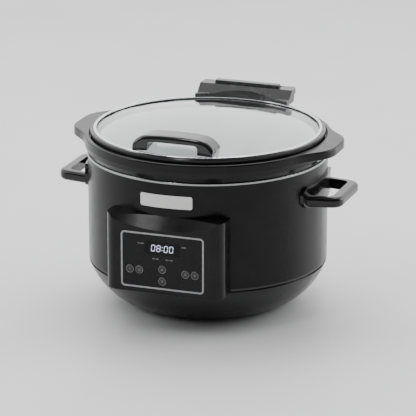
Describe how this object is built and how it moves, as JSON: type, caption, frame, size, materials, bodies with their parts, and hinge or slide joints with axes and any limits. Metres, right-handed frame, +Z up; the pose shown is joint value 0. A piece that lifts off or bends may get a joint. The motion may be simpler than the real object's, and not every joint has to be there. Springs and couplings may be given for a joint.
{
  "type": "slow cooker",
  "caption": "Round electric slow cooker: black heating base with front control panel and side handles, lift-out stoneware crock, hinged glass lid and release latch.",
  "frame": {"origin": "on the worktop, on the round body's vertical axis", "axes": "+Z up, the control panel faces -Y, the side handles and lugs lie along X"},
  "size_m": [0.37, 0.3239, 0.24],
  "materials": {
    "wall_paint": "gloss",
    "rim_steel": "polished",
    "liner_metal": "satin",
    "band_fabric": "woven",
    "spring_steel": "satin",
    "shield_metal": "satin",
    "fuse_body": "matt",
    "sensor_body": "satin",
    "base_plastic": "satin",
    "foot_rubber": "matt",
    "screw_steel": "satin",
    "gland_rubber": "matt",
    "board_laminate": "satin",
    "component_plastic": "satin",
    "relay_plastic": "satin",
    "terminal_plastic": "satin",
    "handle_plastic": "gloss",
    "badge_metal": "brushed",
    "module_plastic": "gloss",
    "bezel_metal": "satin",
    "fascia_plastic": "gloss",
    "window_plastic": "gloss",
    "cable_grey": "satin",
    "stoneware": "gloss",
    "hinge_plastic": "satin",
    "lid_glass": "clear",
    "frame_plastic": "gloss",
    "gasket_silicone": "matt",
    "lid_handle_plastic": "gloss",
    "plate_plastic": "satin",
    "button_plastic": "gloss"
  },
  "bodies": {
    "base_unit": {"housing_wall": "wall_paint", "rim_ring": "rim_steel", "heating_liner": "liner_metal", "heater_band": "band_fabric", "heater_straps": "spring_steel", "heat_shield": "shield_metal", "thermal_fuse": "fuse_body", "temperature_sensor": "sensor_body", "sensor_clip": "spring_steel", "base_pan": "base_plastic", "rubber_feet": "foot_rubber", "foot_screws": "screw_steel", "centre_stud": "screw_steel", "centre_nut": "screw_steel", "cord_gland": "gland_rubber", "power_board": "board_laminate", "power_board_screws": "screw_steel", "transformer": "component_plastic", "relay": "relay_plastic", "terminal_block": "terminal_plastic", "side_handle_right": "handle_plastic", "side_handle_left": "handle_plastic", "handle_backing_plates": "spring_steel", "handle_screws": "screw_steel", "badge": "badge_metal", "control_housing": "module_plastic", "control_screws": "screw_steel", "panel_bezel": "bezel_metal", "control_fascia": "fascia_plastic", "display_window": "window_plastic", "display_module": "component_plastic", "display_board": "board_laminate", "board_screws": "screw_steel", "tactile_switches": "component_plastic", "ribbon_cable": "cable_grey"},
    "crock": {"crock": "stoneware", "hinge_bracket": "hinge_plastic", "hinge_clamp": "hinge_plastic", "hinge_clamp_screws": "screw_steel", "hinge_pin": "screw_steel"},
    "lid": {"lid_glass": "lid_glass", "lid_trim_ring": "rim_steel", "lid_frame": "frame_plastic", "lid_gasket": "gasket_silicone", "lid_handle": "lid_handle_plastic", "lid_handle_washers": "gasket_silicone", "lid_handle_screws": "screw_steel", "hinge_plate": "plate_plastic", "hinge_plate_screws": "screw_steel"},
    "hinge_latch": {"hinge_latch": "plate_plastic"},
    "power_button": {"power_button": "button_plastic"},
    "mode_button": {"mode_button": "button_plastic"},
    "time_up_button": {"time_up_button": "button_plastic"},
    "time_down_button": {"time_down_button": "button_plastic"},
    "heat_button": {"heat_button": "button_plastic"},
    "warm_button": {"warm_button": "button_plastic"}
  },
  "joints": [
    {"name": "crock_lift", "type": "slide", "parent": "base_unit", "child": "crock", "axis": [0, 0, 1], "range_m": [0, 0.14]},
    {"name": "lid_hinge", "type": "hinge", "parent": "crock", "child": "lid", "pos_m": [0, 0.157, 0.221], "axis": [-1, 0, 0], "range_deg": [0, 95]},
    {"name": "latch_release", "type": "slide", "parent": "lid", "child": "hinge_latch", "axis": [0, 1, 0], "range_m": [0, 0.004], "stiffness_N_per_m": 300, "springref_m": -0.003},
    {"name": "power_press", "type": "slide", "parent": "base_unit", "child": "power_button", "axis": [0, 1, 0], "range_m": [0, 0.0008], "stiffness_N_per_m": 800, "springref_m": -0.0006},
    {"name": "mode_press", "type": "slide", "parent": "base_unit", "child": "mode_button", "axis": [0, 1, 0], "range_m": [0, 0.0008], "stiffness_N_per_m": 800, "springref_m": -0.0006},
    {"name": "time_up_press", "type": "slide", "parent": "base_unit", "child": "time_up_button", "axis": [0, 1, 0], "range_m": [0, 0.0008], "stiffness_N_per_m": 800, "springref_m": -0.0006},
    {"name": "time_down_press", "type": "slide", "parent": "base_unit", "child": "time_down_button", "axis": [0, 1, 0], "range_m": [0, 0.0008], "stiffness_N_per_m": 800, "springref_m": -0.0006},
    {"name": "heat_press", "type": "slide", "parent": "base_unit", "child": "heat_button", "axis": [0, 1, 0], "range_m": [0, 0.0008], "stiffness_N_per_m": 800, "springref_m": -0.0006},
    {"name": "warm_press", "type": "slide", "parent": "base_unit", "child": "warm_button", "axis": [0, 1, 0], "range_m": [0, 0.0008], "stiffness_N_per_m": 800, "springref_m": -0.0006}
  ]
}
